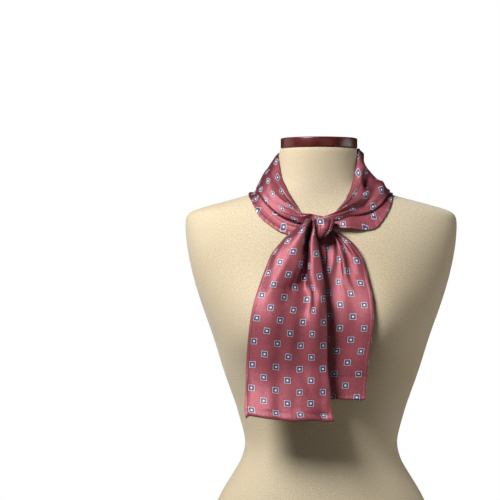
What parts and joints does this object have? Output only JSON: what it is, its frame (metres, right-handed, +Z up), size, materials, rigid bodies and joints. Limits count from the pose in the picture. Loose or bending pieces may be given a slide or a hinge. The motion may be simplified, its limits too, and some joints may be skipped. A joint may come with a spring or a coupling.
{
  "type": "silk cravat on a limbless dress form",
  "caption": "Narrow silk cravat with a small square repeat, wound round the neck of a padded dress form, tied at the throat with its ends hanging over the bust.",
  "frame": {"origin": "on the floor, under the middle of the dress form's flat foot", "axes": "+Z up, -Y out of the form's chest, +X to the form's left side (the right of the front view)"},
  "size_m": [0.407, 0.2702, 0.6803],
  "materials": {
    "silk": "soft satin sheen, small woven squares",
    "jersey": "matt fine cream jersey",
    "mahogany": "dark red gloss varnish"
  },
  "bodies": {
    "root": {"dress_form": "jersey", "neck_cap": "mahogany", "loop_upper": "silk", "loop_under": "silk", "back_end": "silk", "front_end": "silk", "knot": "silk"}
  },
  "joints": []
}
